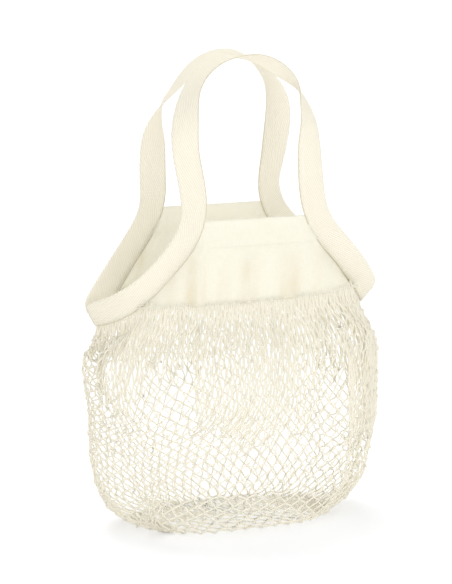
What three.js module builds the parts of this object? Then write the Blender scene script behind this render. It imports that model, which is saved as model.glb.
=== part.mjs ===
// Mesh market bag: a knotless cotton net under a band of plain cotton cloth, with two
// cotton tapes that bind the band's slanted edges and loop up as handles.
// Millimetres, +Z up, X along the width, the front facing -Y.
// The origin is on the floor, in the middle of the bag.
import * as THREE from 'three';

// Cloth and tape
const TAPE_WIDTH = 26;
const TAPE_THICKNESS = 1.6;
const CLOTH_THICKNESS = 1.3;
const HEM_HEIGHT = 26;
const HEM_THICKNESS = 2.2;
const NET_WALL = 3;
const SEAM_GAP = 1.2;
const SIDE_GAP = 0.8;

// Band: the top edge between the tapes, and the two side seams where the tapes end
const TOP_Z = 310;
const TOP_HALF_DEPTH = 55;
const LEG_CENTRE_X = 63;
const EAR_X = 158;
const EAR_Z = 228;
const NECK_HALF_WIDTH = 146;
const NECK_HALF_DEPTH = 65;
const BAND_BOTTOM_Z = 230;
const BAND_TILT = 3;
const EDGE_BULGE_POWER = 2.5;
const SMALLEST_BAND_HEIGHT = 2;

// Each side's slanted tapes: how far the edge sags, and the degrees that the side seam
// leans inwards. The tape's face turns outwards along the slant by FACE_TURN. Below the
// leg, over the share LEG_BLEND, it tips to look up by the first angle, and then by the
// second one at the side seam.
const FACE_TURN = 50;
const LEG_BLEND = 0.4;
const LEFT_SLANT = { sag: 11, lean: 28.6, front: [-35, 5], rear: [15, -70] };
const RIGHT_SLANT = { sag: 1, lean: 44.6, front: [-40, -50], rear: [-35, 5] };

// Net: height above the floor, half width to the left and right, half depth
const NET_PROFILE = [
  [0, 100, 96, 64], [8, 117, 112, 68], [20, 132, 126, 76], [40, 143, 140, 85],
  [65, 151, 146, 88], [95, 157, 152, 90], [130, 158, 153, 90], [165, 158, 153, 86],
  [190, 151, 149, 80], [215, 147, 147, 72],
];
const NECK_BLEND = 0.22;
const NET_COLUMNS = 32;
const NET_LEVELS = 15;

// Handles: x, z and the tape's turn about its own run in degrees, from left to right.
// At 0 the tape's face looks along Y, at 90 it looks up and down.
const FRONT_LOOP = [
  [-63, 310, 0], [-66, 342, 8], [-72, 375, 10], [-72.5, 400, 32], [-67, 433, 76],
  [-53, 453, 98], [-30, 463.5, 104], [1, 461, 111], [24, 453, 114], [40, 439.5, 94],
  [49, 425, 60], [56.5, 400, 30], [57, 375, 8], [58.5, 340, -3], [63, 310, 0],
];
const REAR_LOOP = [
  [-63, 310, -8], [-65, 340, -20], [-64.5, 372, 0], [-61, 395, 28], [-55, 413, 68],
  [-44, 425, 96], [-30, 441, 105], [-10, 455, 100], [16, 462, 95], [40, 456, 88],
  [60, 435, 80], [68.5, 412, 52], [70, 388, 25], [66.5, 358, 2], [62, 334, -10],
  [63, 310, -8],
];
const LOOP_LEAN = 5;
const LOOP_STEPS = 54;
const SLANT_STEPS = 14;

const FRONT = -1;
const REAR = 1;
const LEFT = -1;
const RIGHT = 1;

const COTTON = new THREE.Color(0.93, 0.9, 0.79);
const vec = (x, y, z) => new THREE.Vector3(x, y, z);
const radians = THREE.MathUtils.degToRad;
const mix = THREE.MathUtils.lerp;
const smooth = THREE.MathUtils.smoothstep;

function cotton(shade) {
  const color = COTTON.clone().multiplyScalar(shade);
  return new THREE.MeshStandardMaterial({ color, roughness: 0.95, metalness: 0 });
}

// ---- closed solids ---------------------------------------------------------------

function solidFrom(points, triangles) {
  const geometry = new THREE.BufferGeometry();
  const flat = points.flatMap((p) => [p.x, p.y, p.z]);
  geometry.setAttribute('position', new THREE.Float32BufferAttribute(flat, 3));
  geometry.setIndex(triangles.flat());
  geometry.computeVertexNormals();
  return geometry;
}

function quad(a, b, c, d) {
  return [[a, b, c], [a, c, d]];
}

// A sheet of cloth: grid[i][j] on its middle surface, with its own thickness at each point
function sheetSolid(grid, thicknessAt) {
  const columns = grid.length;
  const rows = grid[0].length;
  const normals = gridNormals(grid);
  const faces = [1, -1].map((side) => grid.flatMap((column, i) => column.map((p, j) =>
    p.clone().addScaledVector(normals[i][j], side * 0.5 * thicknessAt(p)))));
  const at = (face, i, j) => face * columns * rows + i * rows + j;
  const triangles = [];
  for (let i = 0; i + 1 < columns; i++) {
    for (let j = 0; j + 1 < rows; j++) {
      triangles.push(...quad(at(0, i, j), at(0, i + 1, j), at(0, i + 1, j + 1), at(0, i, j + 1)));
      triangles.push(...quad(at(1, i, j), at(1, i, j + 1), at(1, i + 1, j + 1), at(1, i + 1, j)));
    }
  }
  const rim = rimOf(columns, rows);
  rim.forEach(([i, j], k) => {
    const [ni, nj] = rim[(k + 1) % rim.length];
    triangles.push(...quad(at(0, i, j), at(1, i, j), at(1, ni, nj), at(0, ni, nj)));
  });
  return solidFrom(faces.flat(), triangles);
}

function rimOf(columns, rows) {
  const rim = [];
  for (let i = 0; i < columns - 1; i++) rim.push([i, 0]);
  for (let j = 0; j < rows - 1; j++) rim.push([columns - 1, j]);
  for (let i = columns - 1; i > 0; i--) rim.push([i, rows - 1]);
  for (let j = rows - 1; j > 0; j--) rim.push([0, j]);
  return rim;
}

function gridNormals(grid) {
  const clampTo = (value, length) => Math.min(Math.max(value, 0), length - 1);
  return grid.map((column, i) => column.map((_, j) => {
    const across = grid[clampTo(i + 1, grid.length)][j].clone()
      .sub(grid[clampTo(i - 1, grid.length)][j]);
    const along = column[clampTo(j + 1, column.length)].clone()
      .sub(column[clampTo(j - 1, column.length)]);
    return across.cross(along).normalize();
  }));
}

// ---- edges of the band -----------------------------------------------------------

const legOuterX = LEG_CENTRE_X + TAPE_WIDTH / 2;
const legInnerX = LEG_CENTRE_X - TAPE_WIDTH / 2;

function slant(hand) {
  return hand === LEFT ? LEFT_SLANT : RIGHT_SLANT;
}

function bandBottom(x, side) {
  const depth = NECK_HALF_DEPTH * Math.sqrt(Math.max(0, 1 - (x / NECK_HALF_WIDTH) ** 2));
  return vec(x, side * depth, BAND_BOTTOM_Z + BAND_TILT * x / NECK_HALF_WIDTH);
}

// The tape's outer edge, from the top of the leg (t = 0) to the side seam (t = 1)
function slantOuter(t, side, hand) {
  return vec(
    hand * mix(legOuterX, EAR_X, t),
    side * TOP_HALF_DEPTH * (1 - t ** EDGE_BULGE_POWER),
    mix(TOP_Z, EAR_Z, t) - slant(hand).sag * 4 * t * (1 - t),
  );
}

// From the outer edge across the tape to its inner edge, square to the tape's run
function tapeAcross(t, side, hand) {
  const step = 0.01;
  const t0 = Math.min(t, 1 - step);
  const run = slantOuter(t0 + step, side, hand).sub(slantOuter(t0, side, hand)).normalize();
  const turn = radians(FACE_TURN) * t ** 2;
  const { lean, front, rear } = slant(hand);
  const [tiltAtLeg, tiltAtSide] = side === FRONT ? front : rear;
  const tilt = radians(mix(tiltAtLeg, tiltAtSide, t ** 1.5)) * smooth(t, 0, LEG_BLEND);
  const face = vec(hand * Math.sin(turn), side * Math.cos(turn), 0)
    .multiplyScalar(Math.cos(tilt)).add(vec(0, 0, Math.sin(tilt)));
  const across = face.cross(run);
  if (across.z > 0) across.negate();
  const seam = vec(-hand * Math.sin(radians(lean)), 0, -Math.cos(radians(lean)));
  return across.normalize().lerp(seam, smooth(t, 0.6, 1)).normalize();
}

function slantInner(t, side, hand, extra = 0) {
  const across = tapeAcross(t, side, hand);
  return slantOuter(t, side, hand).addScaledVector(across, TAPE_WIDTH + extra);
}

// Where the inner edge turns from the upright leg into the slant
function mitre(side, hand, extra = 0) {
  const a = slantInner(0, side, hand, extra);
  const b = slantInner(0.08, side, hand, extra);
  const x = hand * (legInnerX - extra);
  return a.clone().lerp(b, (x - a.x) / (b.x - a.x));
}

// The slant's share whose inner edge still has cloth below it
function clothShare(side, hand) {
  let t = 0;
  const step = 0.005;
  const clear = (s) => {
    const p = slantInner(s, side, hand, SEAM_GAP);
    return p.z - bandBottom(p.x, side).z > SMALLEST_BAND_HEIGHT;
  };
  while (t < 1 && clear(t + step)) t += step;
  return t;
}

// ---- cloth panels ----------------------------------------------------------------

function panelTopLine(side) {
  const halves = [LEFT, RIGHT].map((hand) => {
    const share = clothShare(side, hand);
    const steps = [0, 0.2, 0.4, 0.6, 0.8, 1];
    return steps.map((s) => slantInner(s * share, side, hand, SEAM_GAP));
  });
  const corner = (hand) => mitre(side, hand, SEAM_GAP);
  const flat = [-1, -0.75, -0.5, -0.25, 0, 0.25, 0.5, 0.75, 1]
    .map((s) => vec(s * (legInnerX - SEAM_GAP), side * TOP_HALF_DEPTH, TOP_Z));
  const left = [...halves[0].reverse(), corner(LEFT)];
  const right = [corner(RIGHT), ...halves[1]];
  return [...left, ...flat, ...right];
}

function panel(side) {
  const rows = 6;
  const grid = panelTopLine(side).map((top) => {
    const bottom = bandBottom(top.x, side);
    return Array.from({ length: rows + 1 }, (_, j) => bottom.clone().lerp(top, j / rows));
  });
  if (side === REAR) grid.reverse();
  const thickness = (p) => (p.z > TOP_Z - HEM_HEIGHT ? HEM_THICKNESS : CLOTH_THICKNESS);
  return sheetSolid(grid, thickness);
}

// ---- tapes with their handles ----------------------------------------------------

function slantStations(side, hand) {
  const stations = [];
  for (let k = 0; k <= SLANT_STEPS; k++) {
    const t = k / SLANT_STEPS;
    const inner = k === 0 ? mitre(side, hand) : slantInner(t, side, hand);
    const outer = slantOuter(t, side, hand);
    stations.push({ outer, inner });
  }
  const last = stations[SLANT_STEPS];
  for (const point of [last.outer, last.inner]) point.y += side * SIDE_GAP;
  return stations;
}

function loopStations(loop, side) {
  const route = new THREE.CatmullRomCurve3(loop.map(([x, z]) => vec(x, 0, z)));
  const turns = new THREE.CatmullRomCurve3(loop.map(([, , turn]) => vec(turn, 0, 0)));
  const stations = [];
  for (let k = 1; k < LOOP_STEPS; k++) {
    const t = k / LOOP_STEPS;
    const lean = LOOP_LEAN * Math.sin(Math.PI * t);
    const centre = route.getPoint(t).add(vec(0, side * (TOP_HALF_DEPTH - lean), 0));
    const run = route.getTangent(t);
    const turn = radians(turns.getPoint(t).x);
    const inward = vec(run.z, 0, -run.x).multiplyScalar(Math.cos(turn));
    const across = inward.add(vec(0, side * Math.sin(turn), 0)).multiplyScalar(TAPE_WIDTH / 2);
    stations.push({ outer: centre.clone().sub(across), inner: centre.clone().add(across) });
  }
  return stations;
}

function tape(loop, side) {
  const stations = [
    ...slantStations(side, LEFT).reverse(),
    ...loopStations(loop, side),
    ...slantStations(side, RIGHT),
  ];
  const grid = stations.map(({ outer, inner }) =>
    [inner.clone(), inner.clone().lerp(outer, 0.5), outer.clone()]);
  if (side === REAR) grid.reverse();
  return sheetSolid(grid, () => TAPE_THICKNESS);
}

// ---- net -------------------------------------------------------------------------

function profileAt(z, column) {
  const last = NET_PROFILE.length - 1;
  let k = NET_PROFILE.findIndex(([height]) => height > z) - 1;
  if (k < 0) k = z < NET_PROFILE[0][0] ? 0 : last - 1;
  const value = (n) => NET_PROFILE[Math.min(Math.max(n, 0), last)][column];
  const height = (n) => NET_PROFILE[Math.min(Math.max(n, 0), last)][0];
  const share = THREE.MathUtils.clamp((z - height(k)) / (height(k + 1) - height(k)), 0, 1);
  const span = height(k + 1) - height(k);
  const slope = (n) => (value(n + 1) - value(n - 1)) / (height(n + 1) - height(n - 1));
  const a = slope(k) * span;
  const b = slope(k + 1) * span;
  const s2 = share * share;
  const s3 = s2 * share;
  return (2 * s3 - 3 * s2 + 1) * value(k) + (s3 - 2 * s2 + share) * a
    + (3 * s2 - 2 * s3) * value(k + 1) + (s3 - s2) * b;
}

// The net's sewn top edge; u runs from -1 at the left side seam to 1 at the right one
function netTop(u, side) {
  const hand = u < 0 ? LEFT : RIGHT;
  const share = clothShare(side, hand);
  const seamShare = 0.7;
  const a = Math.abs(u);
  const drop = CLOTH_THICKNESS;
  if (a <= seamShare) {
    const end = Math.abs(slantInner(share, side, hand).x);
    return bandBottom(hand * end * a / seamShare, side).sub(vec(0, 0, drop));
  }
  const t = mix(share, 1, (a - seamShare) / (1 - seamShare));
  return slantInner(t, side, hand).sub(vec(0, 0, drop));
}

function netPoint(u, side, level) {
  const top = netTop(u, side);
  const angle = u * Math.PI / 2;
  const z = top.z * (1 - level);
  const halfWidth = profileAt(z, u < 0 ? 1 : 2);
  const belly = vec(halfWidth * Math.sin(angle), side * profileAt(z, 3) * Math.cos(angle), z);
  return top.setZ(z).lerp(belly, smooth(level, 0, NECK_BLEND));
}

function netRing(level) {
  const ring = [];
  for (const side of [FRONT, REAR]) {
    for (let k = 0; k < NET_COLUMNS; k++) {
      const u = -side * (2 * k / NET_COLUMNS - 1);
      ring.push(netPoint(u, side, level));
    }
  }
  return ring;
}

function insetRing(ring, amount, rise) {
  return ring.map((p, k) => {
    const before = ring[(k + ring.length - 1) % ring.length];
    const after = ring[(k + 1) % ring.length];
    const run = after.clone().sub(before).setZ(0).normalize();
    return p.clone().add(vec(-run.y, run.x, 0).multiplyScalar(amount)).add(vec(0, 0, rise));
  });
}

function netBody() {
  const levels = Array.from({ length: NET_LEVELS + 1 }, (_, k) => 1 - (1 - k / NET_LEVELS) ** 1.25);
  const outer = levels.map(netRing);
  const floorRise = (k) => (k === NET_LEVELS ? NET_WALL : 0);
  const inner = outer.map((ring, k) => insetRing(ring, NET_WALL, floorRise(k)));
  const count = outer[0].length;
  const points = [...outer.flat(), ...inner.flat()];
  const at = (shell, level, k) => (shell * outer.length + level) * count + (k % count);
  const triangles = [];
  for (let k = 0; k < count; k++) {
    for (let n = 0; n < NET_LEVELS; n++) {
      triangles.push(...quad(at(0, n, k), at(0, n + 1, k), at(0, n + 1, k + 1), at(0, n, k + 1)));
      triangles.push(...quad(at(1, n, k), at(1, n, k + 1), at(1, n + 1, k + 1), at(1, n + 1, k)));
    }
    triangles.push(...quad(at(0, 0, k), at(0, 0, k + 1), at(1, 0, k + 1), at(1, 0, k)));
    triangles.push([at(0, NET_LEVELS, k + 1), at(0, NET_LEVELS, k), points.length]);
    triangles.push([at(1, NET_LEVELS, k), at(1, NET_LEVELS, k + 1), points.length + 1]);
  }
  const middle = (profileAt(0, 2) - profileAt(0, 1)) / 2;
  points.push(vec(middle, 0, 0), vec(middle, 0, NET_WALL));
  return solidFrom(points, triangles);
}

// ---- the bag ---------------------------------------------------------------------

const bag = new THREE.Group();

function addPiece(name, geometry, shade) {
  const mesh = new THREE.Mesh(geometry, cotton(shade));
  mesh.name = name;
  bag.add(mesh);
}

addPiece('net_body', netBody(), 0.96);
addPiece('front_panel', panel(FRONT), 1);
addPiece('rear_panel', panel(REAR), 1);
addPiece('front_handle', tape(FRONT_LOOP, FRONT), 0.98);
addPiece('rear_handle', tape(REAR_LOOP, REAR), 0.98);

export default bag;
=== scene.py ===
"""Looks for the mesh market bag: cotton net, cloth band, twill tapes and their stitching.

Shapes are worked out in millimetres in the part's own frame (+Z up, the front facing -Y)
and turned into metres where a mesh is made. Lights are placed in metres.
"""
import math

import bpy
import numpy as np
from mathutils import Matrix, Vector


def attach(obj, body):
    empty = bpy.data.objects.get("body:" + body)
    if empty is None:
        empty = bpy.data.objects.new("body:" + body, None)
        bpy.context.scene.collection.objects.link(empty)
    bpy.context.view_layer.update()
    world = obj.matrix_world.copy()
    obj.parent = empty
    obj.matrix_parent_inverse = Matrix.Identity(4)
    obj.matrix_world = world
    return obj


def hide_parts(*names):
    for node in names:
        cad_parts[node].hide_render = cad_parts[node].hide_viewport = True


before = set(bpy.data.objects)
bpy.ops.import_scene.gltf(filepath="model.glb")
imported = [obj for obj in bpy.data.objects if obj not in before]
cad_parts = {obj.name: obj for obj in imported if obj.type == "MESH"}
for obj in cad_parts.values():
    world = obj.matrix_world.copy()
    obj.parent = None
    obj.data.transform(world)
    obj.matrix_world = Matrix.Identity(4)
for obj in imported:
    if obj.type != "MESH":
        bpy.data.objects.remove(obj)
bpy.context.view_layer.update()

MM = 0.001
FRONT, REAR = -1, 1
LEFT, RIGHT = -1, 1

# ---- cloth, tape and band, in millimetres and degrees ----
TAPE_WIDTH = 26
TAPE_THICKNESS = 1.5
CLOTH_THICKNESS = 0.9
HEM_HEIGHT = 26
SEAM_OVERLAP = 5
SIDE_GAP = 0.6

# The band: its top edge between the tapes, and the side seams where the tapes end
TOP_Z = 310
TOP_HALF_DEPTH = 55
LEG_CENTRE_X = 63
EAR_X = 158
EAR_Z = 228
NECK_HALF_WIDTH = 146
NECK_HALF_DEPTH = 65
BAND_BOTTOM_Z = 230
BAND_TILT = 3
EDGE_BULGE_POWER = 2.5
SMALLEST_BAND_HEIGHT = 2
HEM_LINE_Z = TOP_Z - HEM_HEIGHT
LEG_OUTER_X = LEG_CENTRE_X + TAPE_WIDTH / 2
LEG_INNER_X = LEG_CENTRE_X - TAPE_WIDTH / 2
# Each side's slanted tapes: how far the edge sags, the degrees that the side seam leans
# inwards, and the face's tilt upwards, first below the leg and then at the side seam
FACE_TURN = 50
LEG_BLEND = 0.4
SLANTS = {
    LEFT: {"sag": 11, "lean": 28.6, FRONT: (-35, 5), REAR: (15, -70)},
    RIGHT: {"sag": 1, "lean": 44.6, FRONT: (-40, -50), REAR: (-35, 5)},
}

# Net: height above the floor, half width to the left and right, half depth
NET_PROFILE = np.array([
    (0, 100, 96, 64), (8, 117, 112, 68), (20, 132, 126, 76), (40, 143, 140, 85),
    (65, 151, 146, 88), (95, 157, 152, 90), (130, 158, 153, 90), (165, 158, 153, 86),
    (190, 151, 149, 80), (215, 147, 147, 72), (232, 146, 146, 65),
], float)

# Handles: x, z and the tape's turn about its own run in degrees, from left to right
LOOPS = {
    FRONT: [
        (-63, 310, 0), (-66, 342, 8), (-72, 375, 10), (-72.5, 400, 32), (-67, 433, 70),
        (-53, 454, 79), (-30, 465.5, 88), (1, 464.5, 108), (24, 453, 114), (40, 439.5, 94),
        (49, 425, 60), (56.5, 400, 30), (57, 375, 8), (58.5, 340, -3), (63, 310, 0),
    ],
    REAR: [
        (-63, 310, -8), (-65, 340, -20), (-64.5, 372, 0), (-61, 395, 38), (-55, 413, 71),
        (-44, 426, 85), (-30, 441, 96), (-10, 456, 104), (16, 463, 102), (40, 456, 92),
        (60, 435, 80), (68.5, 412, 52), (70, 388, 25), (66.5, 358, 2), (62, 334, -10),
        (63, 310, -8),
    ],
}
LOOP_LEAN = 5
LOOP_STEPS = 110
SLANT_STEPS = 26
EDGE_SOFTENING = 4
# The tape's corner at the side seam: its radius, and the slant's shares where it
# starts and over which it runs
EAR_ROUND = 6
EAR_START = 0.92
EAR_REACH = 0.08

TAPE_COLUMNS = 12
THINNEST_EDGE = 0.08
SELVEDGE_RISE = 0.12
# Places where a tape is cupped: share of its length, reach as a share of it, and depth
TAPE_CUPS = {FRONT: [(0.5, 0.16, 1.0)], REAR: [(0.66, 0.07, 4.0), (0.33, 0.04, 2.5)]}
# Long ripples of the free tape: height and length of each
TAPE_RIPPLES = [(0.35, 21.0), (0.25, 9.7)]

PANEL_COLUMNS = 150
PANEL_ROWS = 40
# How far out the cloth's outer face lies from the middle of the tapes
CLOTH_SET = {FRONT: -0.5 * TAPE_THICKNESS - 0.3, REAR: 0.5 * CLOTH_THICKNESS}
CLOTH_BELLY = 1.5
# The fine gathers above the seam to the net, and how deep the hem's stitches pull in
GATHER_DEPTH = 0.45
GATHER_LENGTH = 1.35
STITCH_DENT = 0.35
# Soft upright folds under the hem: x, half width and depth
PUCKERS = {
    FRONT: [
        (-97, 7, 0.8), (-73, 4, -0.8), (-62, 5, 3.2), (-13, 6, 3.0), (31, 8, 3.2), (70, 9, 1.0),
    ],
    REAR: [(-80, 8, 1.2), (-30, 9, 1.6), (12, 7, 1.2), (52, 11, 1.5), (95, 7, 0.8)],
}
# Painted warm shade where the cloth is creased: x, half width, strength
PAINTED_CREASE_SHADES = {
    FRONT: [
        (-88, 6, 0.35), (-70, 6, 0.75), (-58, 4, 0.35), (-40, 8, 0.25), (-17, 6, 0.55),
        (-7, 5, 0.3), (24, 6, 0.4), (36, 8, 0.65), (63, 8, 0.3),
    ],
    REAR: [(-80, 5, 0.5), (-32, 4, 0.6), (10, 4, 0.5), (50, 6, 0.6), (93, 4, 0.4)],
}

STITCH_LENGTH = 2.5
STITCH_GAP = 1.0
STITCH_RADIUS = 0.32
SEAM_STITCH_RISE = 2.2

# ---- net, in millimetres ----
# Yarn and lattice. The net has wide cells, and under the band it is gathered into narrow
# ones. Each part: cells round the bag, rows, and the shares of the way down where it starts
# and ends. The last rows of the wide part lie under the bag, over UNDER_SHARE of the way.
WIDE = {"cells": 64, "rows": 32, "start": 0.10, "end": 1.0}
NARROW = {"cells": 160, "rows": 20, "start": 0.0, "end": 0.62}
UNDER_ROWS = 7
UNDER_SHARE = 0.21
BAR_LENGTH = 10.5
SHORTEST_BAR = 0.45
YARN_RADIUS = 0.75
GATHERED_YARN = 1.2
UNEVEN_YARN = 0.05
JOINT_LENGTH = 1.8
FREE_LENGTH = BAR_LENGTH - JOINT_LENGTH
# In a joint the two yarns lie this many radii either side of it, and cross this far out
PAIR_SET = 0.82
CROSS_OVER = 0.35
BAR_STEPS = 3
POINTS_A_ROW = BAR_STEPS + 1
YARN_SIDES = 6
SEED = 7

# How the net settles: rounds, pull downwards, pull back to its even place, how fast long
# and short bars recover, and the least share of the outline that its fullness holds
RELAX_STEPS = 120
RELAX_GRAVITY = 0.12
SHAPE_MEMORY = 0.06
LONG_BAR_PULL = 0.5
SHORT_BAR_PUSH = 0.15
INNER_SHARE = 0.9

# The net's sewn edge: how far it is tucked up and in behind the band, and the share of
# each quarter that is sewn to cloth and not to tape
NET_TUCK = 4
TUCK_DEPTH = 2.2
CLOTH_QUARTER = 0.7
NECK_BLEND = 0.22
FLOOR_GAP = YARN_RADIUS + 0.4
LOWEST_YARN = YARN_RADIUS + 0.15
MERIDIAN_STEPS = 60
# Under the bag the net is drawn to a middle line, as long as this share of the bag's foot
UNDER_SEAM = 0.98
UNDER_STEPS = 13
# Lengths that turn places and levels into millimetres: a quarter round, and down the net
QUARTER_ROUND = 201.0
DOWN_LENGTH = 300.0

# Lines of cells down the net, each by its place at the GUIDE_LEVELS: 0 is the middle of the
# front, -1 and 1 are the side seams and 2 is the middle of the back. The first place is
# the one at the band, where cells are spread evenly.
GUIDE_LEVELS = (0, 0.12, 0.36, 0.57, 0.78, 1.0)
GUIDES = [
    (-1.09, -1.10, -1.10, -1.34, -1.52, -1.52),
    (-0.95, -0.92, -0.88, -1.18, -1.34, -1.34),
    (-0.76, -0.71, -0.70, -1.02, -1.14, -1.14),
    (-0.62, -0.56, -0.54, -0.84, -0.94, -0.95),
    (-0.46, -0.40, -0.37, -0.56, -0.68, -0.70),
    (-0.14, -0.11, -0.11, -0.43, -0.58, -0.60),
    (0.04, 0.03, 0.00, -0.20, -0.32, -0.34),
    (0.22, 0.14, 0.10, 0.03, 0.00, -0.02),
    (0.47, 0.44, 0.38, 0.34, 0.38, 0.40),
    (0.62, 0.62, 0.56, 0.54, 0.58, 0.60),
    (0.87, 0.85, 0.72, 0.68, 0.72, 0.74),
    (1.09, 1.06, 0.98, 0.92, 0.92, 0.94),
    (1.38, 1.35, 1.24, 1.20, 1.20, 1.20),
    (1.60, 1.55, 1.52, 1.46, 1.42, 1.42),
    (2.04, 2.04, 1.96, 1.88, 1.80, 1.80),
    (2.33, 2.30, 2.24, 2.14, 2.06, 2.06),
    (2.69, 2.67, 2.52, 2.40, 2.32, 2.32),
]
# How far down the gathers reach, as a share of the way, at places along the band
GATHERS = [
    (-1.20, 0.12), (-1.04, 0.15), (-0.99, 0.27), (-0.78, 0.31), (-0.68, 0.30), (-0.61, 0.20),
    (-0.40, 0.19), (-0.33, 0.38), (0.00, 0.44), (0.26, 0.42), (0.31, 0.36), (0.35, 0.19),
    (0.47, 0.20), (0.52, 0.50), (0.90, 0.56), (1.10, 0.34), (1.60, 0.26), (2.00, 0.34),
    (2.40, 0.24), (2.70, 0.20),
]
RAGGED = 0.03
# Folds: place round the bag at the top and the bottom, the shares of the height where it
# starts and ends, its half width and how deep it lies
FOLDS = [
    (-0.98, -0.80, 0.03, 0.55, 0.07, 9),
    (-0.13, -0.20, 0.12, 0.42, 0.05, -2),
    (0.10, 0.30, 0.16, 0.50, 0.04, 3),
    (0.25, -0.75, 0.42, 0.78, 0.08, -4),
    (0.50, 0.58, 0.08, 0.80, 0.07, 5),
    (1.00, 0.90, 0.10, 0.80, 0.08, 5),
    (1.35, 1.30, 0.10, 0.80, 0.08, 6),
    (1.85, 1.75, 0.15, 0.70, 0.07, 4),
    (2.50, 2.45, 0.10, 0.80, 0.08, 6),
]
# Where rows of cells sag or ride up: place round the bag, height, width round the bag,
# reach up and down, and drop
SAGS = [
    (-0.64, 150, 0.13, 50, 26),
    (-1.02, 115, 0.12, 60, -28),
    (0.17, 140, 0.08, 45, 12),
    (0.42, 150, 0.09, 40, -12),
    (1.25, 110, 0.2, 60, 25),
    (2.30, 100, 0.2, 60, 25),
    (1.75, 130, 0.15, 50, -15),
]
# Crumpled places: place round the bag, height, radius and how far knots stray
CRUMPLES = [
    (-0.80, 182, 36, 2.0),
    (0.50, 190, 25, 1.6),
    (1.3, 175, 40, 2.5),
    (2.6, 175, 40, 2.5),
]
EVEN_STRAY = 0.45

# ---- colours and patterns ----
LIGHT_THROUGH = 0.45
YARN_LIGHT = (0.985, 0.963, 0.885)
YARN_SHADE = (0.955, 0.925, 0.825)
CLOTH_LIGHT = (0.97, 0.957, 0.88)
CLOTH_SHADE = (0.925, 0.90, 0.795)
# Colour of the painted shade in the cloth's creases
CLOTH_PAINTED_CREASE_SHADE = (0.89, 0.81, 0.66)
TAPE_LIGHT = (0.96, 0.94, 0.86)
TAPE_SHADE = (0.87, 0.825, 0.715)
# Colour of the painted shadow line along each tape's inner edge
TAPE_EDGE_PAINTED_SHADOW = (0.77, 0.72, 0.58)
TABLE_LIGHT = (0.67, 0.675, 0.69)
TABLE_SHADE = (0.66, 0.665, 0.68)
# Width in millimetres of the painted shadow line at the tape's inner edge
PAINTED_SHADOW_LINE_WIDTH = 0.8
PLY_PITCH = 1.7
WARP_PITCH = 0.62
WEFT_PITCH = 0.7
TWILL_PITCH = 2.1
TWILL_LEAN = 0.36

# ---- camera in millimetres and degrees, lights in metres ----
CAMERA_AZIMUTH = -23.0
CAMERA_ELEVATION = 10.2
CAMERA_DISTANCE = 2200
CAMERA_TARGET = (-7.2, 3.05, 228.6)
SENSOR_HEIGHT = 24.0
LENS = 91.03

WORLD_LIGHT = 0.89
SUN_STRENGTH = 1.1
SUN_ANGLE = 34
SUN_FROM = (0.0, 0.45, 1.0)
FILL_PLACE = (-0.1, -2.1, 0.5)
FILL_SIZE = 1.4
FILL_POWER = 12.5
LIGHT_TARGET = (0, 0, 0.2)
TABLE_GLOW = 0.30
TABLE_HALF = 20.0


# ---- small helpers ----
def unit(v):
    """The same directions with a length of 1."""
    return v / np.maximum(np.linalg.norm(v, axis=-1, keepdims=True), 1e-9)


def smooth(t, low=0.0, high=1.0):
    """Eases from 0 at the low value to 1 at the high one."""
    s = np.clip((np.asarray(t, float) - low) / (high - low), 0, 1)
    return s * s * (3 - 2 * s)


def vec(x, y, z):
    """Points from their coordinates, each a number or an array."""
    return np.stack(np.broadcast_arrays(x, y, z), axis=-1).astype(float)


def along(points):
    """Distance run along a line of points."""
    steps = np.linalg.norm(np.diff(points, axis=0), axis=1)
    return np.concatenate([[0], np.cumsum(steps)])


def resample(points, count):
    """The same line as evenly spaced points."""
    run = along(points)
    at = np.linspace(0, run[-1], count)
    return np.stack([np.interp(at, run, points[:, i]) for i in range(points.shape[1])], -1)


def soften(points, rounds):
    """Evens out a line of points and keeps its ends."""
    p = points.copy()
    for _ in range(rounds):
        p[1:-1] = 0.5 * p[1:-1] + 0.25 * (p[:-2] + p[2:])
    return p


def catmull(points, count):
    """A smooth curve through the points."""
    p = np.array(points, float)
    p = np.vstack([2 * p[0] - p[1], p, 2 * p[-1] - p[-2]])
    at = np.linspace(0, len(points) - 1, count)
    i = np.minimum(at.astype(int), len(points) - 2)
    f = (at - i)[:, None]
    a, b, c, d = p[i], p[i + 1], p[i + 2], p[i + 3]
    return 0.5 * (2 * b + (c - a) * f + (2 * a - 5 * b + 4 * c - d) * f ** 2
                  + (3 * b - a - 3 * c + d) * f ** 3)


def make_piece(name, verts, quads, uvs, material, replaced):
    """A smooth mesh piece from points in millimetres, quads and a place on the cloth for each."""
    mesh = bpy.data.meshes.new(name)
    mesh.vertices.add(len(verts))
    mesh.vertices.foreach_set("co", (np.asarray(verts, float) * MM).ravel())
    mesh.loops.add(quads.size)
    mesh.loops.foreach_set("vertex_index", quads.ravel().astype(np.int32))
    mesh.polygons.add(len(quads))
    mesh.polygons.foreach_set("loop_start", (np.arange(len(quads)) * 4).astype(np.int32))
    mesh.update(calc_edges=True)
    mesh.polygons.foreach_set("use_smooth", np.ones(len(quads), bool))
    layer = mesh.uv_layers.new(name="cloth_mm")
    layer.data.foreach_set("uv", uvs.reshape(-1, 2).astype(np.float32).ravel())
    mesh.materials.append(material)
    mesh.validate()
    piece = bpy.data.objects.new(name, mesh)
    bpy.context.scene.collection.objects.link(piece)
    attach(piece, "root")
    if replaced:
        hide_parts(*replaced)
    return piece


def grid_quads(rows, columns, wrap_columns=False, start=0):
    """Quads over a grid of points stored row by row."""
    last = columns if wrap_columns else columns - 1
    i, j = np.meshgrid(np.arange(rows - 1), np.arange(last), indexing="ij")
    j2 = (j + 1) % columns
    quads = np.stack([i * columns + j, i * columns + j2,
                      (i + 1) * columns + j2, (i + 1) * columns + j], -1)
    return start + quads.reshape(-1, 4)


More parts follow.
